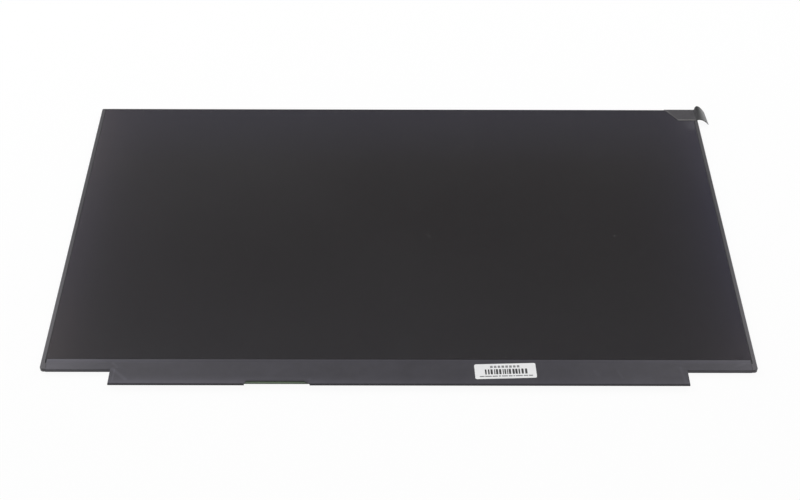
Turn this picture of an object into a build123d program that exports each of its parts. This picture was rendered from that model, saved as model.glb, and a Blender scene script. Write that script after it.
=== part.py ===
from build123d import *
import os
from math import atan2, cos, radians, sin, tan

os.makedirs("parts", exist_ok=True)

# Slim laptop screen panel, lying on its back, in millimetres.
# x runs to the right along the screen, y up the picture and z out of the screen.
# The origin is the middle of the body's outline, on its rear plane.

# Body outline
body_width = 350.66
body_depth = 206.0
near_corner_radius = 1.7
far_corner_radius = 0.9

# Clearances
seat_gap = 0.02
side_gap = 0.05
cell_gap = 0.15
guide_gap = 0.25
board_gap = 0.3

# Rear cover, a tray pressed from thin sheet
cover_sheet = 0.25
bend_inside = 0.2
cover_wall_height = 1.5
corner_opening = 3.2
corner_opening_bottom = 0.45

# Layers, from the rear to the front
reflector_thickness = 0.12
guide_thickness = 0.5
diffuser_thickness = 0.1
prism_thickness = 0.13
sheet_play = 0.07
ledge_thickness = 0.2
rim_tape_thickness = 0.08
rear_polariser_thickness = 0.12
array_glass_thickness = 0.2
filter_glass_thickness = 0.2
front_polariser_thickness = 0.15
film_gap = 0.02
film_thickness = 0.06

# Borders of the layers, measured in from the body's faces
side_rim = 1.95
far_rim = 0.6
polariser_border = 6.8
filter_border = 6.0
array_border = 4.3
guide_border = 5.7
polariser_inset = 0.2
film_inset = 0.3
glass_corner = 0.5
sheet_inset = 0.3

# Locating ears on the light guide and its sheets
ear_reach = 0.35
ear_length = 9.0
ear_setback = 30.0

# Moulded frame
rim_step = 0.1
rim_chamfer = 0.2
leg_thickness = 0.9
side_ledge = 0.8
far_ledge = 1.4
near_ledge = 2.3

# Snap hooks of the frame and their windows in the cover's walls
hook_length = 5.0
hook_drop = 0.25
hook_tip = 0.12
window_height = 0.6
window_play = 0.05
side_hook_count = 4
side_hook_pitch = 46.0
far_hook_count = 6
far_hook_pitch = 58.0

# Lamp strip
flex_thickness = 0.12
flex_end_gap = 2.0
lamp_length = 3.8
lamp_depth = 1.0
lamp_height = 0.6
lamp_pitch = 6.6
lamp_gap = 0.15
tail_x = 100.0
tail_width = 9.0
tail_gap = 0.2
tail_reach = 0.6
tail_rise_run = 1.4
tail_bend = 0.4

# Control board, in a tab that stands out past the near face
notch_width = 34.5
board_reach = 9.5
board_thickness = 0.6
board_end_gap = 0.4
board_corner = 0.8
fold_gap = 0.8

# Driver films and their chips
driver_count = 4
driver_film_thickness = 0.05
driver_film_width = 34.0
driver_film_corner = 1.2
glass_bond = 1.3
board_bond = 2.4
driver_chip_length = 18.0
driver_chip_depth = 1.1
driver_chip_height = 0.18
driver_chip_gap = 0.3

# Cover tape: a strip over the near border, folded round the board and the near wall
tape_thickness = 0.1
tape_far_gap = 0.1
tape_drop_gap = 0.15
tape_drop_run = 1.0
tape_drop_bend = 2.0
strip_setback = 1.0
tape_end_gap = 1.0
tape_slit = 0.12
flap_width = 2.4
wing_fold_bottom = 0.3
fold_bend = 0.15
cutout_margin = 5.2
cutout_depth = 2.05
cutout_left_slant = 0.9
cutout_right_slant = 2.9

# Sticker on the tape
label_width = 30.0
label_height = 9.6
label_thickness = 0.08
label_corner = 0.9
label_x = 51.9
label_turn = 2.0
label_gap = 0.05

# Display cable socket on the board's rear face
socket_x = -59.0
socket_setback = 1.2
housing_width = 19.0
housing_depth = 3.9
housing_height = 1.0
housing_wall = 0.25
slot_width = 16.4
slot_height = 0.5
slot_depth = 2.7
contact_count = 30
contact_pitch = 0.5
contact_width = 0.2
contact_thickness = 0.1
contact_setback = 0.4
contact_play = 0.04
contact_tail_run = 0.3
contact_foot = 0.65
shell_sheet = 0.12
shell_depth = 3.2
shell_bend = 0.15
shell_foot = 1.2
latch_pitch = 12.0
latch_length = 1.6
latch_depth = 0.6
latch_setback = 0.8

# Chips and passives on the board's rear face
timing_x = -22.0
timing_side = 5.6
timing_height = 0.8
power_x = 14.0
power_side = 4.6
power_height = 0.75
lamp_driver_x = 62.0
lamp_driver_side = 3.4
lamp_driver_height = 0.7
memory_x = -33.0
memory_width = 2.0
memory_depth = 3.0
memory_height = 0.55
chip_edge = 0.1
inductor_places = (22.5, 31.0, 70.0)
inductor_side = 3.0
inductor_height = 1.0
inductor_corner = 0.6
capacitor_length = 1.6
capacitor_width = 0.8
capacitor_height = 0.7
capacitor_pitch_x = 2.2
capacitor_pitch_y = 1.5
capacitor_columns = 2
capacitor_rows = 3
capacitor_places = (-40.0, -14.0, 5.5, 39.0, 55.0, 78.0, -90.0)

# Pull tab at the far right corner, stuck to the film and curled over the edge
tab_thickness = 0.08
tab_width = 10.2
tab_flat_length = 17.8
tab_slant = 7.1
tab_root_inset = 0.7
tab_near_rise = 1.3
tab_near_rise_run = 2.6
tab_near_turn_run = 4.8
tab_near_reach = 7.1
tab_near_drop = 1.95
tab_near_skew = 1.6
tab_far_rise = 4.7
tab_far_rise_run = 0.05
tab_far_turn = 2.75
tab_far_turn_run = 3.0
tab_far_reach = 6.2
tab_far_drop = 1.9

# Levels, worked out from the layers
reflector_bottom = cover_sheet
guide_bottom = reflector_bottom + reflector_thickness
diffuser_bottom = guide_bottom + guide_thickness
lower_prism_bottom = diffuser_bottom + diffuser_thickness
upper_prism_bottom = lower_prism_bottom + prism_thickness
ledge_bottom = upper_prism_bottom + prism_thickness + sheet_play
ledge_top = ledge_bottom + ledge_thickness
rear_polariser_bottom = ledge_top + rim_tape_thickness
array_bottom = rear_polariser_bottom + rear_polariser_thickness
filter_bottom = array_bottom + array_glass_thickness
front_polariser_bottom = filter_bottom + filter_glass_thickness
film_bottom = front_polariser_bottom + front_polariser_thickness + film_gap
film_top = film_bottom + film_thickness
rim_top = front_polariser_bottom + rim_step
lip_bottom = cover_wall_height + side_gap
board_top = filter_bottom
board_bottom = board_top - board_thickness
tape_low = board_top + driver_film_thickness + seat_gap
tape_high = front_polariser_bottom + seat_gap

# Places, worked out from the outline and the borders
side_face = body_width / 2
far_face = body_depth / 2
near_face = -far_face
cell_side = side_face - side_rim - cell_gap
cell_far = far_face - far_rim - cell_gap
polariser_side = cell_side - polariser_inset
polariser_far = cell_far - polariser_inset
polariser_near = near_face + polariser_border
filter_near = near_face + filter_border
array_near = near_face + array_border
window_side = cell_side - side_ledge
window_far = cell_far - far_ledge
window_near = polariser_near + near_ledge
frame_inset = cover_sheet + side_gap
guide_side = side_face - frame_inset - leg_thickness - guide_gap
guide_far = far_face - frame_inset - leg_thickness - guide_gap
guide_near = near_face + guide_border
lamp_far = guide_near - lamp_gap
lamp_near = lamp_far - lamp_depth
lamp_room_near = lamp_near - lamp_gap
flex_side = guide_side - flex_end_gap
flex_near = near_face + cover_sheet + bend_inside + side_gap
tab_side = side_face - notch_width
tab_face = near_face - board_reach
board_side = tab_side - board_end_gap
board_near = tab_face + tape_thickness + fold_gap
board_far = array_near - driver_chip_depth - 2 * driver_chip_gap
flap_far = tab_face + flap_width
component_y = (near_face + flap_far) / 2
tape_side = side_face - near_corner_radius - tape_end_gap
tape_far = polariser_near - tape_far_gap
drop_far = filter_near - tape_drop_gap
drop_near = drop_far - tape_drop_run
socket_mouth = board_near + socket_setback
socket_back = socket_mouth + housing_depth
window_bottom = cover_wall_height - hook_drop - window_height
window_length = hook_length + 2 * window_play


def body_outline(inset):
    """Plan of the body: wide corners on the board's side, tight ones on the far side."""
    with BuildSketch() as plan:
        Rectangle(body_width - 2 * inset, body_depth - 2 * inset)
        fillet(plan.vertices().group_by(Axis.Y)[0], near_corner_radius - inset)
        fillet(plan.vertices().group_by(Axis.Y)[-1], far_corner_radius - inset)
    return plan.sketch


def oblong(left, right, near, far):
    """A rectangle given by its four edges."""
    with BuildSketch() as plan:
        with Locations(((left + right) / 2, (near + far) / 2)):
            Rectangle(right - left, far - near)
    return plan.sketch


def guide_outline(margin):
    """Plan of the light guide and its sheets, with a locating ear on each side."""
    with BuildSketch() as plan:
        add(oblong(-guide_side - margin, guide_side + margin, guide_near - margin, guide_far + margin))
        with Locations((0, guide_far - ear_setback)):
            Rectangle(2 * (guide_side + ear_reach + margin), ear_length + 2 * margin)
    return plan.sketch


def corner_blocks(reach):
    """The four corners of the body's outline, as far as reach from its sides."""
    with BuildSketch() as plan:
        add(body_outline(0))
        add(oblong(reach - side_face, side_face - reach, near_face, far_face), mode=Mode.SUBTRACT)
        add(oblong(-side_face, side_face, near_face + reach, far_face - reach), mode=Mode.SUBTRACT)
    return plan.sketch


# Rear cover: a shallow tray with windows for the hooks and a slot for the lamp strip's tail
wall_middle = side_face - cover_sheet / 2
far_wall_middle = far_face - cover_sheet / 2

with BuildPart() as rear_cover:
    with BuildSketch():
        add(body_outline(0))
    extrude(amount=cover_wall_height)
    fillet(rear_cover.faces().sort_by(Axis.Z)[0].edges(), bend_inside + cover_sheet)
    offset(amount=-cover_sheet, openings=rear_cover.faces().sort_by(Axis.Z)[-1])
    with BuildSketch(Plane.XY.offset(window_bottom)):
        with GridLocations(2 * wall_middle, side_hook_pitch, 2, side_hook_count):
            Rectangle(2 * cover_sheet, window_length)
        with Locations((0, far_wall_middle)):
            with GridLocations(far_hook_pitch, 1, far_hook_count, 1):
                Rectangle(window_length, 2 * cover_sheet)
    extrude(amount=window_height, mode=Mode.SUBTRACT)
    # The walls are folded up one by one, so the corners are open
    with BuildSketch(Plane.XY.offset(corner_opening_bottom)):
        add(corner_blocks(corner_opening))
    extrude(amount=cover_wall_height, mode=Mode.SUBTRACT)
    # The near wall is lower under the board
    with BuildSketch(Plane.XY.offset(board_bottom - board_gap)):
        add(oblong(-tab_side, tab_side, near_face - cover_sheet, near_face + 2 * cover_sheet))
    extrude(amount=cover_wall_height, mode=Mode.SUBTRACT)
    with BuildSketch(Plane.XY.offset(cover_sheet)):
        with Locations((tail_x, near_face)):
            Rectangle(tail_width + 2 * tail_gap, 2 * (cover_sheet + bend_inside))
    extrude(amount=flex_thickness + tail_gap, mode=Mode.SUBTRACT)
rear_cover.part.label = "rear_cover"
export_step(rear_cover.part, "parts/rear_cover.step")

# Moulded frame: a rim round the cell, a ledge under it, a seat for the board and the hooks
hook_top = cover_wall_height - hook_drop - window_play
hook_bottom = window_bottom + window_play
leg_face = side_face - frame_inset
far_leg_face = far_face - frame_inset


def hook_profile(face):
    """A ramp that stands out from a leg by the thickness of the cover's wall."""
    with BuildSketch() as ramp:
        with BuildLine():
            Polyline(
                (face - cover_sheet, hook_top),
                (face + cover_sheet, hook_top),
                (face + cover_sheet, hook_top - hook_tip),
                (face, hook_bottom),
                (face - cover_sheet, hook_bottom),
                close=True,
            )
        make_face()
    return ramp.sketch


side_hook_planes = [
    Plane.XZ.offset((index - (side_hook_count - 1) / 2) * side_hook_pitch)
    for index in range(side_hook_count)
]
far_hook_planes = [
    Plane.YZ.offset((index - (far_hook_count - 1) / 2) * far_hook_pitch)
    for index in range(far_hook_count)
]

with BuildPart() as mould_frame:
    with BuildSketch(Plane.XY.offset(cover_sheet)):
        add(body_outline(frame_inset))
    extrude(amount=rim_top - cover_sheet)
    chamfer(mould_frame.faces().sort_by(Axis.Z)[0].edges(), bend_inside)
    # The lip stands over the top edges of the cover's walls, and posts fill the open corners
    with BuildSketch(Plane.XY.offset(lip_bottom)):
        add(body_outline(0))
    extrude(amount=rim_top - lip_bottom)
    with BuildSketch(Plane.XY.offset(corner_opening_bottom + side_gap)):
        add(corner_blocks(corner_opening - side_gap))
    extrude(amount=lip_bottom - corner_opening_bottom - side_gap)
    chamfer(mould_frame.faces().sort_by(Axis.Z)[-1].edges(), rim_chamfer)
    # Room for the light guide, its sheets and the lamps
    with BuildSketch(Plane.XY.offset(cover_sheet)):
        add(guide_outline(guide_gap))
        add(oblong(-guide_side - guide_gap, guide_side + guide_gap, lamp_room_near, guide_near))
    extrude(amount=ledge_bottom - cover_sheet, mode=Mode.SUBTRACT)
    with BuildSketch(Plane.XY.offset(ledge_bottom)):
        add(oblong(-window_side, window_side, window_near, window_far))
    extrude(amount=ledge_thickness, mode=Mode.SUBTRACT)
    # Pocket for the cell, open towards the board for the driver films
    with BuildSketch(Plane.XY.offset(ledge_top)):
        add(oblong(-cell_side - cell_gap, cell_side + cell_gap, array_near - cell_gap, cell_far + cell_gap))
        add(oblong(-tab_side, tab_side, near_face, array_near))
    extrude(amount=rim_top, mode=Mode.SUBTRACT)
    with BuildSketch(Plane.XY.offset(board_bottom - seat_gap)):
        add(oblong(-tab_side, tab_side, near_face, board_far + board_gap))
    extrude(amount=rim_top, mode=Mode.SUBTRACT)
    # Step for the cover tape beside the board, its front edge eased for the fold
    with BuildSketch(Plane.XY.offset(tape_low - seat_gap)):
        add(oblong(-tape_side - side_gap, tape_side + side_gap, near_face, filter_near))
    extrude(amount=rim_top, mode=Mode.SUBTRACT)
    step_faces = mould_frame.faces().filter_by(Axis.Z).filter_by(
        lambda face: abs(face.center().Z - tape_low + seat_gap) < seat_gap / 2
    )
    step_edges = step_faces.edges().filter_by(Axis.X).group_by(Axis.Y)[0]
    chamfer(step_edges, fold_bend)
    # Relief over the lamp strip
    with BuildSketch(Plane.XY.offset(cover_sheet)):
        add(oblong(-flex_side - guide_gap, flex_side + guide_gap, near_face, guide_near))
    extrude(amount=flex_thickness + side_gap, mode=Mode.SUBTRACT)
    # Hooks on the sides and the far leg
    with BuildSketch(*side_hook_planes):
        add(hook_profile(leg_face))
    extrude(amount=hook_length / 2, both=True)
    with BuildSketch(*side_hook_planes):
        add(mirror(hook_profile(leg_face), about=Plane.YZ, mode=Mode.PRIVATE))
    extrude(amount=hook_length / 2, both=True)
    with BuildSketch(*far_hook_planes):
        add(hook_profile(far_leg_face))
    extrude(amount=hook_length / 2, both=True)
mould_frame.part.label = "mould_frame"
export_step(mould_frame.part, "parts/mould_frame.step")

# Backlight layers
with BuildPart() as reflector_sheet:
    with BuildSketch(Plane.XY.offset(reflector_bottom)):
        add(guide_outline(0))
    extrude(amount=reflector_thickness)
reflector_sheet.part.label = "reflector_sheet"
export_step(reflector_sheet.part, "parts/reflector_sheet.step")

with BuildPart() as light_guide_plate:
    with BuildSketch(Plane.XY.offset(guide_bottom)):
        add(guide_outline(0))
    extrude(amount=guide_thickness)
light_guide_plate.part.label = "light_guide_plate"
export_step(light_guide_plate.part, "parts/light_guide_plate.step")

with BuildPart() as diffuser_sheet:
    with BuildSketch(Plane.XY.offset(diffuser_bottom)):
        add(guide_outline(-sheet_inset))
    extrude(amount=diffuser_thickness)
diffuser_sheet.part.label = "diffuser_sheet"
export_step(diffuser_sheet.part, "parts/diffuser_sheet.step")

with BuildPart() as lower_prism_sheet:
    with BuildSketch(Plane.XY.offset(lower_prism_bottom)):
        add(guide_outline(-sheet_inset))
    extrude(amount=prism_thickness)
lower_prism_sheet.part.label = "lower_prism_sheet"
export_step(lower_prism_sheet.part, "parts/lower_prism_sheet.step")

with BuildPart() as upper_prism_sheet:
    with BuildSketch(Plane.XY.offset(upper_prism_bottom)):
        add(guide_outline(-sheet_inset))
    extrude(amount=prism_thickness)
upper_prism_sheet.part.label = "upper_prism_sheet"
export_step(upper_prism_sheet.part, "parts/upper_prism_sheet.step")

# Lamp strip: a flexible circuit along the near edge, with a tail that rises to the board
tail_low = cover_sheet + flex_thickness / 2
tail_high = board_bottom - flex_thickness / 2
tail_foot_y = near_face - tail_reach

with BuildPart() as led_flex:
    with BuildSketch(Plane.XY.offset(cover_sheet)):
        add(oblong(-flex_side, flex_side, flex_near, lamp_far))
    extrude(amount=flex_thickness)
    with BuildSketch(Plane.YZ.offset(tail_x)):
        with BuildLine():
            FilletPolyline(
                (lamp_near, tail_low),
                (tail_foot_y, tail_low),
                (tail_foot_y - tail_rise_run, tail_high),
                (flap_far + tail_gap, tail_high),
                radius=tail_bend,
            )
        trace(line_width=flex_thickness)
    extrude(amount=tail_width / 2, both=True)
led_flex.part.label = "led_flex"
export_step(led_flex.part, "parts/led_flex.step")

lamp_count = int((2 * flex_side - lamp_length) // lamp_pitch) + 1

with BuildPart() as led_packages:
    with BuildSketch(Plane.XY.offset(cover_sheet + flex_thickness)):
        with Locations((0, (lamp_near + lamp_far) / 2)):
            with GridLocations(lamp_pitch, 1, lamp_count, 1):
                Rectangle(lamp_length, lamp_depth)
    extrude(amount=lamp_height)
led_packages.part.label = "led_packages"
export_step(led_packages.part, "parts/led_packages.step")

# Liquid crystal cell and its polarisers
with BuildPart() as rim_tape:
    with BuildSketch(Plane.XY.offset(ledge_top)):
        add(oblong(-polariser_side, polariser_side, polariser_near, polariser_far))
        hole = oblong(-window_side, window_side, window_near, window_far)
        add(hole, mode=Mode.SUBTRACT)
    extrude(amount=rim_tape_thickness)
rim_tape.part.label = "rim_tape"
export_step(rim_tape.part, "parts/rim_tape.step")

with BuildPart() as rear_polariser:
    with BuildSketch(Plane.XY.offset(rear_polariser_bottom)):
        add(oblong(-polariser_side, polariser_side, polariser_near, polariser_far))
    extrude(amount=rear_polariser_thickness)
rear_polariser.part.label = "rear_polariser"
export_step(rear_polariser.part, "parts/rear_polariser.step")

with BuildPart() as array_glass:
    with BuildSketch(Plane.XY.offset(array_bottom)) as pane:
        add(oblong(-cell_side, cell_side, array_near, cell_far))
        chamfer(pane.vertices(), glass_corner)
    extrude(amount=array_glass_thickness)
array_glass.part.label = "array_glass"
export_step(array_glass.part, "parts/array_glass.step")

with BuildPart() as colour_filter_glass:
    with BuildSketch(Plane.XY.offset(filter_bottom)) as pane:
        add(oblong(-cell_side, cell_side, filter_near, cell_far))
        chamfer(pane.vertices(), glass_corner)
    extrude(amount=filter_glass_thickness)
colour_filter_glass.part.label = "colour_filter_glass"
export_step(colour_filter_glass.part, "parts/colour_filter_glass.step")

with BuildPart() as front_polariser:
    with BuildSketch(Plane.XY.offset(front_polariser_bottom)):
        add(oblong(-polariser_side, polariser_side, polariser_near, polariser_far))
    extrude(amount=front_polariser_thickness)
front_polariser.part.label = "front_polariser"
export_step(front_polariser.part, "parts/front_polariser.step")

# Protective film and its pull tab
film_side = polariser_side - film_inset
film_far = polariser_far - film_inset

with BuildPart() as protective_film:
    with BuildSketch(Plane.XY.offset(film_bottom)):
        add(oblong(-film_side, film_side, polariser_near + film_inset, film_far))
    extrude(amount=film_thickness)
protective_film.part.label = "protective_film"
export_step(protective_film.part, "parts/protective_film.step")

tab_root = side_face - tab_root_inset
tab_near = far_face - tab_width
tab_far = far_face

# The free end rises from the film and turns down past the side, more at its far edge
near_curl = Bezier(
    (tab_root, tab_near, film_top),
    (tab_root + tab_near_rise_run, tab_near, film_top + tab_near_rise),
    (tab_root + tab_near_turn_run, tab_near - tab_near_skew / 2, film_top),
    (tab_root + tab_near_reach, tab_near - tab_near_skew, film_top - tab_near_drop),
)
far_curl = Bezier(
    (tab_root, tab_far, film_top),
    (tab_root + tab_far_rise_run, tab_far, film_top + tab_far_rise),
    (tab_root + tab_far_turn_run, tab_far, film_top + tab_far_turn),
    (tab_root + tab_far_reach, tab_far, film_top - tab_far_drop),
)

with BuildPart() as pull_tab:
    with BuildSketch(Plane.XY.offset(film_top)):
        with BuildLine():
            Polyline(
                (tab_root - tab_flat_length, tab_far),
                (tab_root - tab_flat_length + tab_slant, tab_near),
                (tab_root, tab_near),
                (tab_root, tab_far),
                close=True,
            )
        make_face()
    extrude(amount=tab_thickness)
    thicken(Face.make_surface_from_curves(near_curl.edge(), far_curl.edge()), amount=tab_thickness)
pull_tab.part.label = "pull_tab"
export_step(pull_tab.part, "parts/pull_tab.step")

# Control board and what bonds it to the glass
with BuildPart() as control_board:
    with BuildSketch(Plane.XY.offset(board_bottom)) as plan:
        add(oblong(-board_side, board_side, board_near, board_far))
        fillet(plan.vertices(), board_corner)
    extrude(amount=board_thickness)
control_board.part.label = "control_board"
export_step(control_board.part, "parts/control_board.step")

driver_pitch = 2 * board_side / driver_count
driver_film_far = array_near + glass_bond
driver_film_near = board_far - board_bond

with BuildPart() as driver_films:
    with BuildSketch(Plane.XY.offset(board_top)) as films:
        with Locations((0, (driver_film_near + driver_film_far) / 2)):
            with GridLocations(driver_pitch, 1, driver_count, 1):
                Rectangle(driver_film_width, driver_film_far - driver_film_near)
        chamfer(films.vertices().group_by(Axis.Y)[0], driver_film_corner)
    extrude(amount=driver_film_thickness)
driver_films.part.label = "driver_films"
export_step(driver_films.part, "parts/driver_films.step")

with BuildPart() as driver_chips:
    with BuildSketch(Plane.XY.offset(board_top)):
        with Locations((0, array_near - driver_chip_gap - driver_chip_depth / 2)):
            with GridLocations(driver_pitch, 1, driver_count, 1):
                Rectangle(driver_chip_length, driver_chip_depth)
    extrude(amount=-driver_chip_height)
driver_chips.part.label = "driver_chips"
export_step(driver_chips.part, "parts/driver_chips.step")

# Chips and passives on the board's rear face
with BuildPart() as timing_controller:
    with BuildSketch(Plane.XY.offset(board_bottom)):
        with Locations((timing_x, component_y)):
            Rectangle(timing_side, timing_side)
    extrude(amount=-timing_height)
    chamfer(timing_controller.faces().sort_by(Axis.Z)[0].edges(), chip_edge)
timing_controller.part.label = "timing_controller"
export_step(timing_controller.part, "parts/timing_controller.step")

with BuildPart() as power_chip:
    with BuildSketch(Plane.XY.offset(board_bottom)):
        with Locations((power_x, component_y)):
            Rectangle(power_side, power_side)
    extrude(amount=-power_height)
    chamfer(power_chip.faces().sort_by(Axis.Z)[0].edges(), chip_edge)
power_chip.part.label = "power_chip"
export_step(power_chip.part, "parts/power_chip.step")

with BuildPart() as lamp_driver_chip:
    with BuildSketch(Plane.XY.offset(board_bottom)):
        with Locations((lamp_driver_x, component_y)):
            Rectangle(lamp_driver_side, lamp_driver_side)
    extrude(amount=-lamp_driver_height)
    chamfer(lamp_driver_chip.faces().sort_by(Axis.Z)[0].edges(), chip_edge)
lamp_driver_chip.part.label = "lamp_driver_chip"
export_step(lamp_driver_chip.part, "parts/lamp_driver_chip.step")

with BuildPart() as memory_chip:
    with BuildSketch(Plane.XY.offset(board_bottom)):
        with Locations((memory_x, component_y)):
            Rectangle(memory_width, memory_depth)
    extrude(amount=-memory_height)
    chamfer(memory_chip.faces().sort_by(Axis.Z)[0].edges(), chip_edge)
memory_chip.part.label = "memory_chip"
export_step(memory_chip.part, "parts/memory_chip.step")

with BuildPart() as board_inductors:
    with BuildSketch(Plane.XY.offset(board_bottom)) as bases:
        with Locations(*[(place, component_y) for place in inductor_places]):
            Rectangle(inductor_side, inductor_side)
        chamfer(bases.vertices(), inductor_corner)
    extrude(amount=-inductor_height)
board_inductors.part.label = "board_inductors"
export_step(board_inductors.part, "parts/board_inductors.step")

with BuildPart() as board_capacitors:
    with BuildSketch(Plane.XY.offset(board_bottom)):
        with Locations(*[(place, component_y) for place in capacitor_places]):
            with GridLocations(capacitor_pitch_x, capacitor_pitch_y, capacitor_columns, capacitor_rows):
                Rectangle(capacitor_length, capacitor_width)
    extrude(amount=-capacitor_height)
board_capacitors.part.label = "board_capacitors"
export_step(board_capacitors.part, "parts/board_capacitors.step")

# Display cable socket: a moulded housing, a folded shell and a row of contacts
slot_roof = board_bottom - housing_wall
contact_level = slot_roof - seat_gap - contact_thickness / 2
contact_room = contact_pitch * contact_count

with BuildPart() as connector_housing:
    with BuildSketch(Plane.XY.offset(board_bottom)):
        with Locations((socket_x, (socket_mouth + socket_back) / 2)):
            Rectangle(housing_width, housing_depth)
    extrude(amount=-housing_height)
    # Eased where the shell bends round it
    chamfer(connector_housing.faces().sort_by(Axis.Z)[0].edges().filter_by(Axis.Y), shell_bend)
    with BuildSketch(Plane.XZ.offset(-socket_mouth)):
        with Locations((socket_x, slot_roof - slot_height / 2)):
            Rectangle(slot_width, slot_height)
    extrude(amount=-slot_depth, mode=Mode.SUBTRACT)
    # The contacts leave through one long slot in the rear wall
    passage = contact_thickness + 2 * contact_play
    with BuildSketch(Plane.XZ.offset(-socket_mouth)):
        with Locations((socket_x, contact_level)):
            Rectangle(contact_room, passage)
    extrude(amount=-housing_depth, mode=Mode.SUBTRACT)
connector_housing.part.label = "connector_housing"
export_step(connector_housing.part, "parts/connector_housing.step")

contact_planes = [
    Plane.YZ.offset(socket_x + (index - (contact_count - 1) / 2) * contact_pitch)
    for index in range(contact_count)
]
contact_foot_level = board_bottom - contact_thickness / 2

with BuildPart() as connector_contacts:
    with BuildSketch(*contact_planes):
        with BuildLine():
            Polyline(
                (socket_mouth + contact_setback, contact_level),
                (socket_back + contact_tail_run, contact_level),
                (socket_back + 2 * contact_tail_run, contact_foot_level),
                (socket_back + 2 * contact_tail_run + contact_foot, contact_foot_level),
            )
        trace(line_width=contact_thickness)
    extrude(amount=contact_width / 2, both=True)
connector_contacts.part.label = "connector_contacts"
export_step(connector_contacts.part, "parts/connector_contacts.step")

shell_foot_level = board_bottom - shell_sheet / 2
shell_plate_level = board_bottom - housing_height - seat_gap - shell_sheet / 2
shell_side = housing_width / 2 + seat_gap + shell_sheet / 2

with BuildPart() as connector_shell:
    with BuildSketch(Plane.XZ.offset(-socket_mouth)):
        with BuildLine():
            FilletPolyline(
                (socket_x - shell_side - shell_foot, shell_foot_level),
                (socket_x - shell_side, shell_foot_level),
                (socket_x - shell_side, shell_plate_level),
                (socket_x + shell_side, shell_plate_level),
                (socket_x + shell_side, shell_foot_level),
                (socket_x + shell_side + shell_foot, shell_foot_level),
                radius=shell_bend,
            )
        trace(line_width=shell_sheet)
    extrude(amount=-shell_depth)
    with BuildSketch(Plane.XY.offset(shell_plate_level - shell_sheet)):
        with Locations((socket_x, socket_mouth + latch_setback)):
            with GridLocations(latch_pitch, 1, 2, 1):
                Rectangle(latch_length, latch_depth)
    extrude(amount=2 * shell_sheet, mode=Mode.SUBTRACT)
connector_shell.part.label = "connector_shell"
export_step(connector_shell.part, "parts/connector_shell.step")

# Cover tape: over the glass edge, down to the board's level, and round the edges
tape_middle = tape_thickness / 2
tape_level = tape_low + tape_middle
flap_level = board_bottom - seat_gap - tape_middle
tab_fold_y = tab_face + tape_middle
wing_fold_y = near_face - seat_gap - tape_middle
strip_end = near_face + strip_setback
cutout_side = shell_side + shell_foot + cutout_margin

with BuildPart() as board_cover_tape:
    with BuildSketch(Plane.YZ):
        with BuildLine():
            FilletPolyline(
                (tape_far, tape_high + tape_middle),
                (drop_far, tape_high + tape_middle),
                (drop_near, tape_level),
                (strip_end, tape_level),
                radius=tape_drop_bend,
            )
        trace(line_width=tape_thickness)
    extrude(amount=tape_side, both=True)
    # Round the board's near edge
    with BuildSketch(Plane.YZ):
        with BuildLine():
            FilletPolyline(
                (strip_end, tape_level),
                (tab_fold_y, tape_level),
                (tab_fold_y, flap_level),
                (flap_far, flap_level),
                radius=fold_bend,
            )
        trace(line_width=tape_thickness)
    extrude(amount=tab_side, both=True)
    # Down the near wall on both sides of the board
    with BuildSketch(Plane.YZ.offset(tab_side + tape_slit)):
        with BuildLine():
            FilletPolyline(
                (strip_end, tape_level),
                (wing_fold_y, tape_level),
                (wing_fold_y, wing_fold_bottom),
                radius=fold_bend,
            )
        trace(line_width=tape_thickness)
    wing = extrude(amount=tape_side - tab_side - tape_slit)
    mirror(wing, about=Plane.YZ)
    # Cut back in front of the socket, and the whole flap behind it
    with BuildSketch():
        with BuildLine():
            Polyline(
                (socket_x - cutout_side, tab_face),
                (socket_x - cutout_side + cutout_left_slant, tab_face + cutout_depth),
                (socket_x + cutout_side - cutout_right_slant, tab_face + cutout_depth),
                (socket_x + cutout_side, tab_face),
                close=True,
            )
        make_face()
    extrude(amount=rim_top, mode=Mode.SUBTRACT)
    with BuildSketch():
        add(oblong(socket_x - cutout_side, socket_x + cutout_side, tab_face, flap_far))
    extrude(amount=board_bottom, mode=Mode.SUBTRACT)
board_cover_tape.part.label = "board_cover_tape"
export_step(board_cover_tape.part, "parts/board_cover_tape.step")

# Sticker, set a little askew on the tape
label_turn_angle = radians(label_turn)
label_span = (label_height * cos(label_turn_angle) + label_width * sin(label_turn_angle)) / 2
drop_angle = atan2(tape_high - tape_low, tape_drop_run)
drop_tangent = (tape_drop_bend + tape_thickness) * tan(drop_angle / 2)
label_y = drop_near - drop_tangent - label_gap - label_span

with BuildPart() as front_label:
    with BuildSketch(Plane.XY.offset(tape_low + tape_thickness)):
        with Locations((label_x, label_y)):
            RectangleRounded(label_width, label_height, label_corner, rotation=label_turn)
    extrude(amount=label_thickness)
front_label.part.label = "front_label"
export_step(front_label.part, "parts/front_label.step")
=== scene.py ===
import random
from math import cos, pi, radians, sin

import bmesh
import bpy
from mathutils import Matrix, Vector


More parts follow.
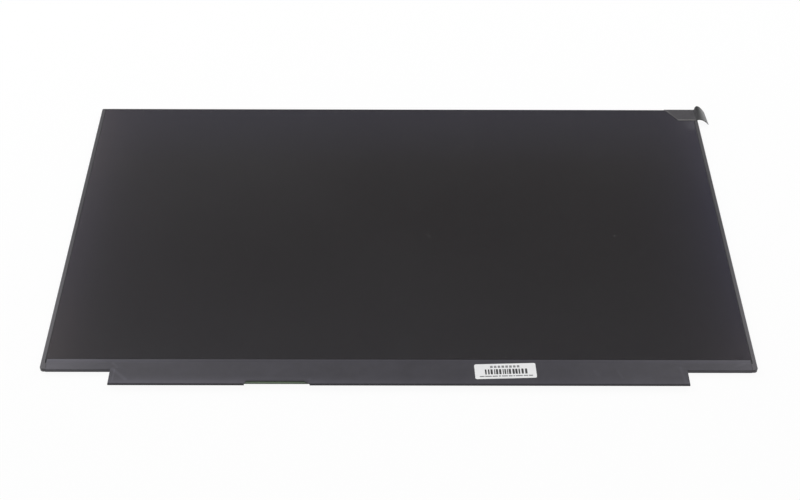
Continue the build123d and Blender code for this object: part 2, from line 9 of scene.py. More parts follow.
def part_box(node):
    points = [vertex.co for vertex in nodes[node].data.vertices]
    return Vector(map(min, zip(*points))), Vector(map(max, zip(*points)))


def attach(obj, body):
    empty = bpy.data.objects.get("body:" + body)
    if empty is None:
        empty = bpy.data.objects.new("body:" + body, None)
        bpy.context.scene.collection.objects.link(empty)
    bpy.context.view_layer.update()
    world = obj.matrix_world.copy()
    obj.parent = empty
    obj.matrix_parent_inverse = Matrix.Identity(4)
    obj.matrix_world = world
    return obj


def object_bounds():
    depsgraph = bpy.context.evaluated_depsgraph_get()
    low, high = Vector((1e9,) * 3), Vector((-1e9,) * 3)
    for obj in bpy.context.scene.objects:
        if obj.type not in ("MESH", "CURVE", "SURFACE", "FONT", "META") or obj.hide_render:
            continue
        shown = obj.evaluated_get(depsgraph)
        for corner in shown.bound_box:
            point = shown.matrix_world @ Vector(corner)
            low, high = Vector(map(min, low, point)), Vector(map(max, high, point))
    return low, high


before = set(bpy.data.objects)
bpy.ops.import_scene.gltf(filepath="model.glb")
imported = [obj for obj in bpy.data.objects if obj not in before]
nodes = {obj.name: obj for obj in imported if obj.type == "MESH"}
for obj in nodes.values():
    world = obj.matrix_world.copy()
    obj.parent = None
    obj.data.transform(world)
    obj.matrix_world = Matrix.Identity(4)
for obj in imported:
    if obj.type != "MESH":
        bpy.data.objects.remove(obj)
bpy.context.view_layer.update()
scene = bpy.context.scene
MM = 0.001
X, Y = 0, 1


# Camera, fitted to the outline in the photograph
IMAGE_WIDTH = 800
FOCAL_PX = 1435.0
SENSOR = 36.0
CLIP_START = 0.01
CAMERA_PLACE = Vector((-1.4534, -571.03, 525.36)) * MM
CAMERA_PITCH = 0.75773
CAMERA_YAW = 0.0036182
CAMERA_ROLL = -0.0044177

camera_data = bpy.data.cameras.new("camera")
camera_data.sensor_width = SENSOR
camera_data.lens = FOCAL_PX * SENSOR / IMAGE_WIDTH
camera_data.clip_start = CLIP_START
camera = bpy.data.objects.new("camera", camera_data)
camera.matrix_world = (
    Matrix.Translation(CAMERA_PLACE)
    @ Matrix.Rotation(-CAMERA_YAW, 4, "Z")
    @ Matrix.Rotation(pi / 2 - CAMERA_PITCH, 4, "X")
    @ Matrix.Rotation(-CAMERA_ROLL, 4, "Z")
)
scene.collection.objects.link(camera)
scene.camera = camera
scene.view_settings.view_transform = "Standard"


class Graph:
    """A node tree with short calls for the nodes that the materials use."""

    def __init__(self, tree):
        self.tree = tree

    def node(self, kind, inputs=None, **settings):
        made = self.tree.nodes.new(kind)
        for name, value in settings.items():
            setattr(made, name, value)
        for name, value in (inputs or {}).items():
            self.feed(made.inputs[name], value)
        return made

    def feed(self, socket, value):
        """Links another node's socket, or sets a value. A colour is given without its alpha."""
        if isinstance(value, bpy.types.NodeSocket):
            self.tree.links.new(value, socket)
        elif socket.type == "RGBA":
            socket.default_value = (*value, 1.0)
        else:
            socket.default_value = value

    def math(self, operation, first, second=0.0, clamp=False):
        made = self.node("ShaderNodeMath", {0: first, 1: second}, operation=operation)
        made.use_clamp = clamp
        return made.outputs[0]

    def total(self, first, *others):
        for other in others:
            first = self.math("ADD", first, other)
        return first

    def product(self, first, *others):
        for other in others:
            first = self.math("MULTIPLY", first, other)
        return first

    def gap(self, value, middle):
        return self.math("ABSOLUTE", self.math("SUBTRACT", value, middle))

    def spread(self, value, start, end, low=0.0, high=1.0, smooth=False):
        """The value's range from start to end, laid on low to high and held there."""
        kind = "SMOOTHSTEP" if smooth else "LINEAR"
        names = ("Value", "From Min", "From Max", "To Min", "To Max")
        inputs = dict(zip(names, (value, start, end, low, high)))
        return self.node("ShaderNodeMapRange", inputs, interpolation_type=kind).outputs["Result"]

    def blend(self, share, first, second, kind="MIX"):
        """A colour between two, by share, or the first with that share of the second added."""
        made = self.node("ShaderNodeMix", data_type="RGBA", blend_type=kind)
        sockets = (made.inputs[0], made.inputs[6], made.inputs[7])
        for socket, value in zip(sockets, (share, first, second)):
            self.feed(socket, value)
        return made.outputs[2]


class Surface(Graph):
    """A material with one main shader, varied over the piece by nodes in the piece's own frame."""

    def __init__(self, name, **values):
        self.material = bpy.data.materials.new(name)
        self.material.use_nodes = True
        super().__init__(self.material.node_tree)
        self.shader = self.tree.nodes["Principled BSDF"]
        for socket, value in values.items():
            self.set(socket, value)
        self.place = self.node("ShaderNodeTexCoord").outputs["Object"]
        self.axes = self.node("ShaderNodeSeparateXYZ", {"Vector": self.place}).outputs

    def set(self, socket, value):
        self.feed(self.shader.inputs[socket.replace("_", " ")], value)

    def noise(self, scale, detail=2.0, stretch=None):
        place = self.place
        if stretch:
            place = self.node("ShaderNodeMapping", {"Vector": place, "Scale": stretch}).outputs["Vector"]
        inputs = {"Vector": place, "Scale": scale, "Detail": detail}
        return self.node("ShaderNodeTexNoise", inputs).outputs[0]

    def vary(self, noise, low=0.0, high=1.0):
        """Low to high over most of a noise's range."""
        return self.spread(noise, 0.3, 0.7, low, high)

    def fade(self, distance, reach):
        """One at no distance, falling to nothing at reach."""
        return self.spread(distance, 0.0, reach, 1.0, 0.0, smooth=True)

    def near(self, axis, middle, reach):
        """One at a place along an axis, falling to nothing at reach from it."""
        return self.fade(self.gap(self.axes[axis], middle), reach)

    def streak(self, start, end, reach):
        """One along a line between two places seen from above, falling to nothing at reach from it."""
        run = Vector(end) - Vector(start)
        offsets = [self.math("SUBTRACT", self.axes[axis], start[axis]) for axis in (X, Y)]
        parts = [self.product(offsets[axis], run[axis] / run.length_squared) for axis in (X, Y)]
        share = self.math("ADD", *parts, clamp=True)
        squares = []
        for axis in (X, Y):
            off_line = self.math("SUBTRACT", offsets[axis], self.product(share, run[axis]))
            squares.append(self.math("POWER", off_line, 2.0))
        return self.fade(self.math("SQRT", self.total(*squares)), reach)

    def relief(self, height, depth):
        bump = self.node("ShaderNodeBump", {"Height": height, "Distance": depth, "Strength": 1.0})
        self.set("Normal", bump.outputs["Normal"])


def grained(name, dark, light, rough, grain, depth, patch=40.0, stretch=None, **values):
    """A surface with a patchy colour, and a fine grain in its gloss and its relief."""
    surface = Surface(name, **values)
    surface.colour = surface.blend(surface.vary(surface.noise(patch, 3.0)), dark, light)
    surface.set("Base_Color", surface.colour)
    fine = surface.noise(grain, 2.0, stretch)
    surface.set("Roughness", surface.vary(fine, *rough))
    surface.relief(fine, depth)
    return surface


def dress(names, surface):
    for name in names:
        data = nodes[name].data
        data.materials.clear()
        data.materials.append(surface.material)


# Screen: a dark anti-glare polariser with a painted reflection, paler away from its darkest place, and a bluer
# painted sheen towards its edges
LEAST_REFLECTION_PLACE = (130.0 * MM, 5.6 * MM)
REFLECTION_REACH = (406.0 * MM, 135.4 * MM)
SCREEN_DARK, SCREEN_DARK_SIDE_SHEEN = (0.0119, 0.0102, 0.0112), (0.0271, 0.0254, 0.0399)
SCREEN_REFLECTED, SCREEN_REFLECTED_SIDE_SHEEN = (0.0284, 0.0268, 0.0298), (0.0596, 0.0528, 0.057)
SCREEN_FAR_REFLECTION = (0.0225, 0.021, 0.0405)
FAR_REFLECTION_SHARE = 0.3
SIDE_SHEEN_STEEPNESS = 11.0
HAZE = 0.06

screen = Surface("polariser", Specular_IOR_Level=0.133)
screen_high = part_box("front_polariser")[1]
painted_light_terms = []
for axis in (X, Y):
    off_dark = screen.math("SUBTRACT", screen.axes[axis], LEAST_REFLECTION_PLACE[axis])
    painted_light_terms.append(screen.math("POWER", screen.math("DIVIDE", off_dark, REFLECTION_REACH[axis]), 2.0))
haze = screen.spread(screen.noise(9.0), 0.35, 0.65, -HAZE, HAZE)
reflection_share = screen.math("ADD", screen.total(*painted_light_terms), haze, clamp=True)
to_side = screen.math("ABSOLUTE", screen.math("DIVIDE", screen.axes[X], screen_high.x))
side_sheen = screen.math("POWER", to_side, SIDE_SHEEN_STEEPNESS)
far_reflection = screen.spread(screen.axes[Y], 0.5 * screen_high.y, 0.95 * screen_high.y, 0.0, FAR_REFLECTION_SHARE)
dark = screen.blend(side_sheen, SCREEN_DARK, SCREEN_DARK_SIDE_SHEEN)
light = screen.blend(side_sheen, SCREEN_REFLECTED, SCREEN_REFLECTED_SIDE_SHEEN)
# Painted reflection in the base colour: paler away from the darkest place, varied by haze, with a bluer
# painted sheen at the side edges and towards the far edge
screen.set("Base_Color", screen.blend(far_reflection, screen.blend(reflection_share, dark, light), SCREEN_FAR_REFLECTION))
glare_grain = screen.noise(800.0, 1.0)
screen.set("Roughness", screen.vary(glare_grain, 0.22, 0.26))
screen.relief(glare_grain, 0.0006 * MM)
dress(["front_polariser"], screen)

# Clear film, paler in a patch below the pull tab
PALE_PATCH_INSET = (1.5 * MM, 13.5 * MM)
PALE_PATCH_REACH = (10.0 * MM, 6.0 * MM)
PALE_PATCH_ALPHA = 0.036

film = Surface("clear_film", Base_Color=(0.6, 0.6, 0.63))
film_streak = film.noise(14.0, 3.0, (1.0, 0.35, 1.0))
film_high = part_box("protective_film")[1]
spots = [film.near(axis, film_high[axis] - PALE_PATCH_INSET[axis], PALE_PATCH_REACH[axis]) for axis in (X, Y)]
pale_patch = film.product(*spots, film.spread(film.noise(260.0), 0.3, 0.65, 0.3, 1.0))
hazy = film.vary(film_streak, 0.0005, 0.002)
film.set("Alpha", film.total(hazy, film.product(pale_patch, PALE_PATCH_ALPHA)))
film.set("Roughness", film.vary(film.noise(300.0), 0.3, 0.42))
film.relief(film_streak, 0.002 * MM)
dress(["protective_film"], film)

# Moulded frame, paler towards the near edge
RIM_NEAR = (0.12, 0.1165, 0.124)

rim = grained(
    "frame_plastic", (0.056, 0.0545, 0.059), (0.064, 0.0625, 0.067), (0.36, 0.44), 1600.0, 0.003 * MM,
    Specular_IOR_Level=0.31, Specular_Tint=(0.98, 0.95, 1.0),
)
frame_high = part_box("mould_frame")[1]
rim_near = rim.spread(rim.axes[Y], 0.2 * frame_high.y, -0.8 * frame_high.y, smooth=True)
rim.set("Base_Color", rim.blend(rim_near, rim.colour, RIM_NEAR))
dress(["mould_frame"], rim)

# Cover tape: a painted sheen paler towards its ends, painted highlights over the edge of the glass, towards
# its near fold and in its creases, paler in random patches, and painted shade down the front of the fold and
# along its cut-out
NOTCH_SIDE = 140.0 * MM
NOTCH_REACH = 12.0 * MM
END_REACH = 14.0 * MM
END_SHEEN_FROM, END_SHEEN_TO = 155.0 * MM, 172.0 * MM
CUTOUT_MIDDLE = -59.0 * MM
CUTOUT_HALF = 16.0 * MM
CUTOUT_SHADE = 0.55
GLASS_STEP = 1.25 * MM
TAPE_GROUND, TAPE_PAINTED_SHEEN = (0.0186, 0.018, 0.0216), (0.1, 0.0975, 0.107)
TAPE_PALE_TONE_AND_HIGHLIGHT = (0.0884, 0.0859, 0.1056)
TAPE_SHADE = (0.003, 0.003, 0.004)
# Each painted sheen ramp along X: start and end in mm, steepness, share
TAPE_SHEEN_RAMPS = (
    (20.0, -140.0, 1.5, 0.36),
    (72.0, 150.0, 1.0, 0.34),
    (-143.0, -168.0, 1.0, 0.44),
    (150.0, 172.0, 1.0, 0.22),
)
# Each painted highlight along a crease: start and end places and reach in mm, share
TAPE_CREASE_HIGHLIGHTS = (
    ((-139.8, -102.6), (-132.5, -109.4), 1.5, 0.22),
    ((-140.2, -98.6), (-137.6, -101.4), 1.2, 0.16),
    ((-138.9, -110.6), (-138.6, -103.0), 0.7, 0.2),
    ((137.6, -101.2), (139.0, -111.0), 1.3, 0.12),
    ((106.8, -103.6), (108.6, -107.8), 1.1, 0.08),
    ((95.2, -103.4), (97.4, -106.8), 1.2, 0.07),
    ((164.6, -100.6), (169.4, -98.4), 1.3, 0.1),
    ((-45.6, -110.4), (-43.4, -109.2), 0.9, 0.16),
)

tape = Surface("tape_black", Specular_IOR_Level=0.45, Specular_Tint=(0.95, 0.915, 1.0))
tape_low, tape_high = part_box("board_cover_tape")
tape_side = tape.math("ABSOLUTE", tape.axes[X])
# Painted highlights over the edge of the glass and towards the near fold
glass_share = tape.math(
    "MAXIMUM",
    tape.spread(tape.axes[X], -95.0 * MM, -150.0 * MM, 0.17, 0.5),
    tape.spread(tape.axes[X], 95.0 * MM, 150.0 * MM, 0.17, 0.4),
)
glass_edge_highlight = tape.product(tape.near(Y, tape_high.y - GLASS_STEP, GLASS_STEP), glass_share)
fold_share = tape.spread(tape.axes[X], -110.0 * MM, 20.0 * MM, 0.4, 0.16)
fold_ramp = tape.spread(tape.axes[Y], tape_low.y + 6.5 * MM, tape_low.y + 1.4 * MM)
fold_highlight = tape.product(tape.math("POWER", fold_ramp, 2.0), fold_share)
# Painted highlights, a painted sheen towards the ends, and random paler patches of the tape's own tone
highlights_and_tone = [
    tape.math("MAXIMUM", glass_edge_highlight, fold_highlight),
    tape.spread(tape_side, END_SHEEN_FROM, END_SHEEN_TO, 0.0, 0.1),
    tape.vary(tape.noise(55.0, 3.0), 0.055, 0.12),
    tape.vary(tape.noise(240.0), 0.0, 0.06),
]
for start, end, reach, share in TAPE_CREASE_HIGHLIGHTS:
    crease_highlight = tape.streak(Vector(start) * MM, Vector(end) * MM, reach * MM)
    highlights_and_tone.append(tape.product(crease_highlight, share))
# Painted sheen, paler towards the ends
painted_light_terms = []
for start, end, steepness, share in TAPE_SHEEN_RAMPS:
    ramp = tape.spread(tape.axes[X], start * MM, end * MM)
    painted_light_terms.append(tape.product(tape.math("POWER", ramp, steepness), share))
ground = tape.blend(tape.total(*painted_light_terms), TAPE_GROUND, TAPE_PAINTED_SHEEN)
tape_colour = tape.blend(tape.total(*highlights_and_tone), ground, TAPE_PALE_TONE_AND_HIGHLIGHT, "ADD")
# Painted shade down the front of the fold, and painted shadow along the cut-out's edge
fold_front_shade = tape.spread(tape.axes[Y], tape_low.y + 1.0 * MM, tape_low.y + 0.3 * MM)
off_cutout = tape.gap(tape.axes[X], CUTOUT_MIDDLE)
cutout_shadow = tape.product(
    tape.spread(off_cutout, CUTOUT_HALF, CUTOUT_HALF - 1.5 * MM, 0.0, CUTOUT_SHADE),
    tape.spread(tape.axes[Y], tape_low.y + 3.4 * MM, tape_low.y + 2.3 * MM),
)
shaded = tape.math("MAXIMUM", fold_front_shade, cutout_shadow)
tape.set("Base_Color", tape.blend(shaded, tape_colour, TAPE_SHADE))
tape_grain = tape.noise(1500.0)
tape.set("Roughness", tape.vary(tape_grain, 0.3, 0.35))
tape_wave = tape.noise(160.0, 2.0, (0.5, 1.0, 1.0))
at_notch = tape.spread(tape.gap(tape_side, NOTCH_SIDE), 0.0, NOTCH_REACH, 11.0, 1.0, smooth=True)
at_end = tape.spread(tape_side, tape_high.x - END_REACH, tape_high.x, 1.0, 8.0, smooth=True)
tape_waves = tape.product(tape_wave, tape.math("MAXIMUM", at_notch, at_end))
tape.relief(tape.total(tape.product(tape_grain, 0.02), tape_waves), 0.03 * MM)
dress(["board_cover_tape"], tape)

# Pull tab: smoky tape, clearer where it lies on the film, paler along its root and the flat part's edges, with
# a broken pale line along the flat part's near edge; the curl painted shaded, with painted light towards its
# free end and painted shade along its near edge
TAB_REACH = 7.2 * MM
TAB_WIDTH = 10.2 * MM
TAB_FLAT = 17.8 * MM
TAB_SLANT = 7.1 * MM
CURL_REACH = 7.1 * MM
CURL_SKEW = 1.6 * MM
TAB_GREY, TAB_SLANT_GREY = (0.082, 0.079, 0.085), (0.15, 0.147, 0.15)
TAB_ROOT_GREY = (0.13, 0.127, 0.134)
TAB_CURL_SHADED, TAB_CURL_LIT = (0.044, 0.044, 0.046), (0.23, 0.23, 0.232)
TAB_SHADE = (0.003, 0.003, 0.003)
TAB_PALE_LINE = (0.27, 0.266, 0.262)
FLAT_ALPHA, CURL_ALPHA = 0.78, 0.98

tab = Surface("tab_film", Specular_IOR_Level=0.22)
tab_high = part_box("pull_tab")[1]
tab_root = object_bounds()[1].x - TAB_REACH
tab_edge = tab_high.y - TAB_WIDTH
curled = tab.spread(tab.axes[X], tab_root - 0.4 * MM, tab_root + 0.4 * MM)
flat = tab.math("SUBTRACT", 1.0, curled)
# Painted light towards the curl's free end, over the curl's painted shaded colour
lit_free_end = tab.spread(tab.axes[X], tab_root + 0.6 * MM, tab_root + 5.4 * MM, smooth=True)
off_far = tab.math("SUBTRACT", tab_high.y, tab.axes[Y])
off_tip = tab.math("SUBTRACT", tab.axes[X], tab_root - TAB_FLAT)
off_slant = tab.math("SUBTRACT", off_tip, tab.product(off_far, TAB_SLANT / TAB_WIDTH))
slant_line = tab.product(
    tab.spread(off_slant, 1.3 * MM, 0.6 * MM),
    tab.spread(off_far, 3.0 * MM, 7.0 * MM, 0.9, 0.4),
)
root_line = tab.product(
    tab.near(X, tab_root - 0.7 * MM, 1.1 * MM),
    tab.spread(off_far, 2.0 * MM, 9.0 * MM, 0.8, 0.35),
)
# Painted shade along the curl's near edge
skew = tab.spread(tab.axes[X], tab_root, tab_root + CURL_REACH, 0.0, CURL_SKEW)
off_near = tab.total(tab.math("SUBTRACT", tab.axes[Y], tab_edge), skew)
under = tab.product(tab.spread(off_near, 1.1 * MM, 0.4 * MM), curled)
# A broken pale line along the flat part's near edge
near_line = tab.product(tab.near(Y, tab_edge + 0.35 * MM, 0.6 * MM), flat)
broken_pale_line = tab.product(near_line, tab.spread(tab.noise(220.0), 0.25, 0.6, 0.55, 1.0))
shade = tab.blend(slant_line, TAB_GREY, TAB_SLANT_GREY)
for share, colour in (
    (root_line, TAB_ROOT_GREY),
    (curled, TAB_CURL_SHADED),
    (lit_free_end, TAB_CURL_LIT),
    (under, TAB_SHADE),
    (broken_pale_line, TAB_PALE_LINE),
):
    shade = tab.blend(share, shade, colour)
tab.set("Base_Color", shade)
tab_grain = tab.noise(500.0)
tab.set("Roughness", tab.vary(tab_grain, 0.42, 0.55))
tab.set("Alpha", tab.spread(curled, 0.0, 1.0, FLAT_ALPHA, CURL_ALPHA))
tab.relief(tab_grain, 0.004 * MM)
dress(["pull_tab"], tab)

# Rear cover: rolled steel sheet
ROLLED_STREAK = (0.4, 0.405, 0.415)

steel = grained(
    "cover_steel", (0.5, 0.505, 0.515), (0.54, 0.545, 0.553), (0.3, 0.42), 900.0, 0.003 * MM,
    patch=12.0, stretch=(0.04, 3.0, 1.0), Metallic=1.0,
)
rolled = steel.spread(steel.noise(420.0, 3.0, (0.02, 1.0, 1.0)), 0.35, 0.7, 0.0, 0.45)
steel.set("Base_Color", steel.blend(rolled, steel.colour, ROLLED_STREAK))
dress(["rear_cover"], steel)

# Board, with tracks along it in about half of its cells
TRACK_PITCH = 0.55 * MM
TRACK_RUN = 16.0 * MM
TRACK_GREEN = (0.108, 0.144, 0.093)

board = grained(
    "board_green", (0.074, 0.1, 0.067), (0.092, 0.122, 0.083), (0.38, 0.5), 1800.0, 0.01 * MM,
    patch=420.0, Specular_IOR_Level=0.3,
)
row_place = board.math("DIVIDE", board.axes[Y], TRACK_PITCH)
row = board.math("FLOOR", row_place)
row_noise = board.node("ShaderNodeTexWhiteNoise", {"W": row}, noise_dimensions="1D")
run_place = board.math("DIVIDE", board.axes[X], TRACK_RUN)
run = board.math("FLOOR", board.total(run_place, row_noise.outputs["Value"]))
cell = board.node("ShaderNodeCombineXYZ", {"X": run, "Y": row}).outputs[0]
cell_noise = board.node("ShaderNodeTexWhiteNoise", {"Vector": cell}, noise_dimensions="2D")
picked = board.math("GREATER_THAN", cell_noise.outputs["Value"], 0.5)
off_track = board.gap(board.math("FRACT", row_place), 0.5)
tracks = board.product(board.spread(off_track, 0.17, 0.21, 1.0, 0.0), picked)
board.set("Base_Color", board.blend(tracks, board.colour, TRACK_GREEN))
dress(["control_board"], board)

# Capacitors, in groups of two columns, with tinned ends
CAPACITOR_GROUPS = (-90.0, -40.0, -14.0, 5.5, 39.0, 55.0, 78.0)
CAPACITOR_OFFSET = 1.1 * MM
TINNED_END = (0.66, 0.66, 0.65)

ceramic = grained(
    "capacitor_ceramic", (0.46, 0.34, 0.23), (0.58, 0.45, 0.32), (0.4, 0.55), 6000.0, 0.005 * MM,
    patch=700.0,
)
group_gap = ceramic.gap(ceramic.axes[X], CAPACITOR_GROUPS[0] * MM)
for middle in CAPACITOR_GROUPS[1:]:
    group_gap = ceramic.math("MINIMUM", group_gap, ceramic.gap(ceramic.axes[X], middle * MM))
tinned = ceramic.spread(ceramic.gap(group_gap, CAPACITOR_OFFSET), 0.46 * MM, 0.5 * MM)
ceramic.set("Base_Color", ceramic.blend(tinned, ceramic.colour, TINNED_END))
ceramic.set("Metallic", tinned)
dress(["board_capacitors"], ceramic)

# Sticker, other parts of the board and layers inside:
# name, dark and light colour, roughness, grain, relief in mm, further settings, nodes
FINISHES = (
    ("label_paper", (0.925, 0.925, 0.935), (0.97, 0.97, 0.975), (0.42, 0.52), 2600.0, 0.004,
     {"patch": 160.0}, ["front_label"]),
    ("driver_film", (0.4, 0.2, 0.05), (0.5, 0.28, 0.08), (0.25, 0.35), 3000.0, 0.004,
     {"stretch": (1.0, 0.02, 1.0)}, ["driver_films"]),
    ("chip_black", (0.02, 0.02, 0.021), (0.032, 0.032, 0.033), (0.45, 0.6), 9000.0, 0.006,
     {"patch": 900.0}, ["driver_chips", "timing_controller", "power_chip", "lamp_driver_chip", "memory_chip"]),
    ("inductor_ferrite", (0.07, 0.07, 0.073), (0.11, 0.11, 0.115), (0.5, 0.7), 7000.0, 0.01,
     {"patch": 900.0}, ["board_inductors"]),
    ("socket_plastic", (0.05, 0.05, 0.05), (0.07, 0.07, 0.07), (0.45, 0.6), 8000.0, 0.005,
     {"patch": 500.0}, ["connector_housing"]),
    ("socket_metal", (0.68, 0.67, 0.65), (0.78, 0.77, 0.75), (0.22, 0.34), 4000.0, 0.003,
     {"patch": 300.0, "Metallic": 1.0}, ["connector_shell"]),
    ("contact_gold", (0.78, 0.58, 0.25), (0.86, 0.68, 0.34), (0.2, 0.3), 9000.0, 0.002,
     {"patch": 900.0, "Metallic": 1.0}, ["connector_contacts"]),
    ("reflector_film", (0.86, 0.87, 0.88), (0.92, 0.93, 0.94), (0.35, 0.5), 3000.0, 0.003,
     {}, ["reflector_sheet"]),
    ("guide_acrylic", (0.84, 0.89, 0.91), (0.88, 0.92, 0.94), (0.08, 0.14), 5200.0, 0.003,
     {"Alpha": 0.4}, ["light_guide_plate"]),
    ("diffuser_film", (0.85, 0.85, 0.85), (0.9, 0.9, 0.9), (0.6, 0.75), 8000.0, 0.003,
     {}, ["diffuser_sheet"]),
    ("prism_film", (0.76, 0.79, 0.83), (0.82, 0.84, 0.87), (0.2, 0.3), 6000.0, 0.01,
     {"stretch": (0.01, 1.0, 1.0), "Alpha": 0.5}, ["lower_prism_sheet", "upper_prism_sheet"]),
    ("flex_circuit", (0.8, 0.79, 0.74), (0.87, 0.86, 0.82), (0.4, 0.5), 2400.0, 0.004,
     {"patch": 200.0}, ["led_flex"]),
    ("lamp_body", (0.86, 0.82, 0.55), (0.92, 0.88, 0.64), (0.35, 0.5), 7000.0, 0.004,
     {"patch": 600.0}, ["led_packages"]),
    ("rim_tape_black", (0.015, 0.015, 0.015), (0.022, 0.022, 0.022), (0.5, 0.65), 5000.0, 0.004,
     {}, ["rim_tape"]),
    ("rear_polariser", (0.025, 0.025, 0.027), (0.035, 0.035, 0.037), (0.3, 0.4), 9000.0, 0.002,
     {}, ["rear_polariser"]),
    ("cell_glass", (0.018, 0.02, 0.021), (0.026, 0.029, 0.03), (0.06, 0.1), 4000.0, 0.001,
     {}, ["array_glass", "colour_filter_glass"]),
)
for name, dark, light, rough, grain, depth, settings, dressed in FINISHES:
    dress(dressed, grained(name, dark, light, rough, grain, depth * MM, **settings))


# Printing on the sticker: plain bars and dashes, as a thin layer of ink; places in mm from its middle
LABEL_TURN = radians(2.0)
INK_DEPTH = 0.012 * MM
BAR_SEED = 11
BARS_LEFT, BARS_RIGHT, BARS_NEAR, BARS_FAR = -10.0, 9.9, -1.95, 1.3
BAR_WIDTHS, BAR_GAPS = (0.5, 0.75, 1.05), (0.38, 0.5, 0.7)
UPPER_COUNT, UPPER_PITCH, UPPER_LENGTH = 8, 1.87, 1.25
UPPER_LEFT, UPPER_NEAR, UPPER_FAR = -7.3, 2.15, 3.55
LOWER_LENGTHS, LOWER_GAP = (2.3, 3.1, 2.6, 1.2, 2.8, 1.9, 0.7, 3.4, 2.2, 2.0), 0.42
LOWER_LEFT, LOWER_NEAR, LOWER_FAR = -12.8, -3.5, -2.85
label_low, label_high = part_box("front_label")
label_middle = (label_low + label_high) / 2


def ink(name, marks):
    """A layer of printed oblongs, each given by its left, right, near and far edges on the sticker in mm."""
    work = bmesh.new()
    turn = Matrix.Rotation(LABEL_TURN, 4, "Z")
    lift = Matrix.Translation((label_middle.x, label_middle.y, label_high.z + INK_DEPTH / 2))
    for left, right, near, far in marks:
        size = Matrix.Diagonal(((right - left) * MM, (far - near) * MM, INK_DEPTH, 1.0))
        spot = Matrix.Translation(((left + right) / 2 * MM, (near + far) / 2 * MM, 0.0))
        bmesh.ops.create_cube(work, size=1.0, matrix=lift @ turn @ spot @ size)
    mesh = bpy.data.meshes.new(name)
    work.to_mesh(mesh)
    work.free()
    piece = bpy.data.objects.new(name, mesh)
    scene.collection.objects.link(piece)
    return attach(piece, "root")


draw = random.Random(BAR_SEED)
bar_marks = []
left = BARS_LEFT
while left < BARS_RIGHT:
    width = draw.choice(BAR_WIDTHS)
    bar_marks.append((left, left + width, BARS_NEAR, BARS_FAR))
    left += width + draw.choice(BAR_GAPS)
bars = ink("label_bars", bar_marks)

dash_marks = []
for index in range(UPPER_COUNT):
    left = UPPER_LEFT + index * UPPER_PITCH
    dash_marks.append((left, left + UPPER_LENGTH, UPPER_NEAR, UPPER_FAR))
left = LOWER_LEFT
for length in LOWER_LENGTHS:
    dash_marks.append((left, left + length, LOWER_NEAR, LOWER_FAR))
    left += length + LOWER_GAP
dashes = ink("label_dashes", dash_marks)

bar_ink = grained(
    "bar_ink", (0.02, 0.02, 0.022), (0.04, 0.04, 0.042), (0.5, 0.6), 5000.0, 0.002 * MM, patch=900.0,
)
bars.data.materials.append(bar_ink.material)
dash_ink = grained(
    "dash_ink", (0.2, 0.2, 0.205), (0.3, 0.3, 0.31), (0.5, 0.6), 5000.0, 0.002 * MM, patch=900.0,
)
dashes.data.materials.append(dash_ink.material)


# Specks of dust on the film, and painted glints on the rim's near corners as pale flakes: place and size in mm
FILM_SPECKS = ((115.6, -6.8, 0.42), (129.0, -20.0, 0.3), (16.1, -7.1, 0.34))
RIM_CORNER_GLINTS = ((173.7, -95.6, 0.38), (-173.9, -94.2, 0.42))
FLAKE_CORNERS = 9
FLAKE_DEPTH = 0.015 * MM
FLAKE_SQUASH = 0.7
FLAKE_TURN = 0.4


def flake(work, middle, size, turn, seed):
    """A thin flake with an uneven outline."""
    chance = random.Random(seed)
    under, over = [], []
    for index in range(FLAKE_CORNERS):
        angle = turn + 2 * pi * index / FLAKE_CORNERS
        reach = size * chance.uniform(0.7, 1.1)
        corner = middle + Vector((reach * cos(angle), FLAKE_SQUASH * reach * sin(angle), 0.0))
        under.append(work.verts.new(corner))
        over.append(work.verts.new(corner))
        over[-1].co.z += FLAKE_DEPTH
    work.faces.new(under[::-1])
    work.faces.new(over)
    for index in range(FLAKE_CORNERS):
        work.faces.new((under[index - 1], under[index], over[index], over[index - 1]))


dust_and_glints = bmesh.new()
seats = [(*speck, film_high.z) for speck in FILM_SPECKS] + [(*speck, frame_high.z) for speck in RIM_CORNER_GLINTS]
for index, (x, y, size, seat) in enumerate(seats):
    flake(dust_and_glints, Vector((x * MM, y * MM, seat)), size * MM, FLAKE_TURN * index, index)
dust_and_glint_mesh = bpy.data.meshes.new("specks_and_glints")
dust_and_glints.to_mesh(dust_and_glint_mesh)
dust_and_glints.free()
dust_and_glint_flakes = bpy.data.objects.new("specks_and_glints", dust_and_glint_mesh)
scene.collection.objects.link(dust_and_glint_flakes)
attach(dust_and_glint_flakes, "root")
# One pale flake colour for the dust and for the painted glints
dust_and_glint_finish = grained(
    "dust_and_glints", (0.12, 0.12, 0.125), (0.2, 0.2, 0.205), (0.7, 0.85), 9000.0, 0.01 * MM, patch=3000.0,
)
dust_and_glint_flakes.data.materials.append(dust_and_glint_finish.material)


# Floor, world and lamps
FLOOR_SIZE = 8.0
FLOOR_DROP = 0.1 * MM
FLOOR_MATT = (0.9, 0.9, 0.9)
FLOOR_WHITE = 0.95
AMBIENT = 0.12
WHITE = (1.0, 1.0, 1.0)


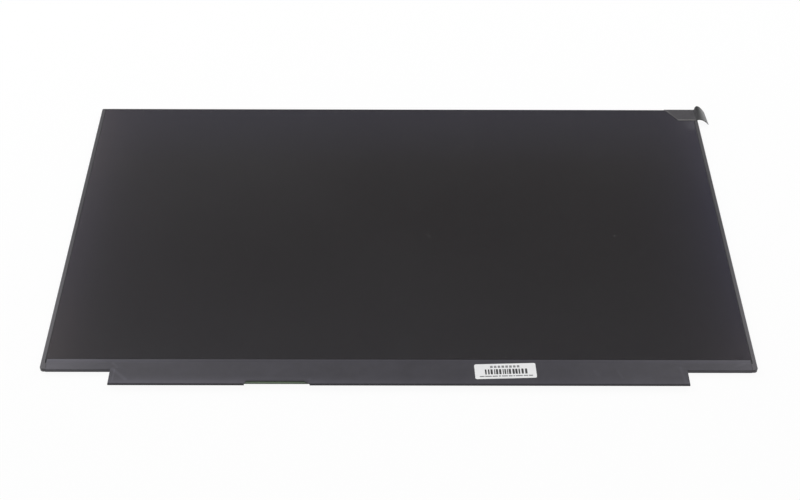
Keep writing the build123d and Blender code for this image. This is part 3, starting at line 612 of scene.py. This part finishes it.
def seen(graph):
    """One for a ray from the camera, a reflection or a view through glass, and nothing for light."""
    path = graph.node("ShaderNodeLightPath").outputs
    gloss = graph.math("MAXIMUM", path["Is Camera Ray"], path["Is Glossy Ray"])
    return graph.math("MAXIMUM", gloss, path["Is Transmission Ray"])


floor_mesh = bpy.data.meshes.new("floor")
half = FLOOR_SIZE / 2
floor_corners = [(-half, -half, 0), (half, -half, 0), (half, half, 0), (-half, half, 0)]
floor_mesh.from_pydata(floor_corners, [], [(0, 1, 2, 3)])
floor = bpy.data.objects.new("floor", floor_mesh)
floor.location.z = -FLOOR_DROP
scene.collection.objects.link(floor)
floor_material = bpy.data.materials.new("floor")
floor_material.use_nodes = True
floor_graph = Graph(floor_material.node_tree)
floor_graph.tree.nodes.clear()
matt = floor_graph.node("ShaderNodeBsdfDiffuse", {"Color": FLOOR_MATT}).outputs[0]
shining = floor_graph.node("ShaderNodeEmission", {"Color": WHITE, "Strength": 1.0}).outputs[0]
white_share = floor_graph.product(seen(floor_graph), FLOOR_WHITE)
mixed = floor_graph.node("ShaderNodeMixShader", {0: white_share, 1: matt, 2: shining}).outputs[0]
floor_graph.node("ShaderNodeOutputMaterial", {"Surface": mixed})
floor_mesh.materials.append(floor_material)

world = bpy.data.worlds.new("studio")
world.use_nodes = True
scene.world = world
sky = Graph(world.node_tree)
backdrop = world.node_tree.nodes["Background"].inputs
sky.feed(backdrop["Strength"], sky.spread(seen(sky), 0.0, 1.0, AMBIENT, 1.0))
sky.feed(backdrop["Color"], WHITE)


def softbox(name, place, size, power):
    """A broad lamp aimed at the part, and not mirrored, so that the screen stays dark from every side."""
    data = bpy.data.lights.new(name, "AREA")
    data.shape = "RECTANGLE"
    data.size, data.size_y = size
    data.energy = power
    lamp = bpy.data.objects.new(name, data)
    lamp.location = place
    lamp.rotation_euler = (-Vector(place)).to_track_quat("-Z", "Y").to_euler()
    lamp.visible_glossy = False
    scene.collection.objects.link(lamp)


softbox("back_left", (-1.199, 0.941, 0.752), (1.2, 1.2), 32.0)
softbox("back_right", (1.04, 1.088, 0.79), (0.69, 0.73), 18.5)
softbox("back_low", (-0.221, 1.51, 0.75), (1.64, 0.2), 5.0)
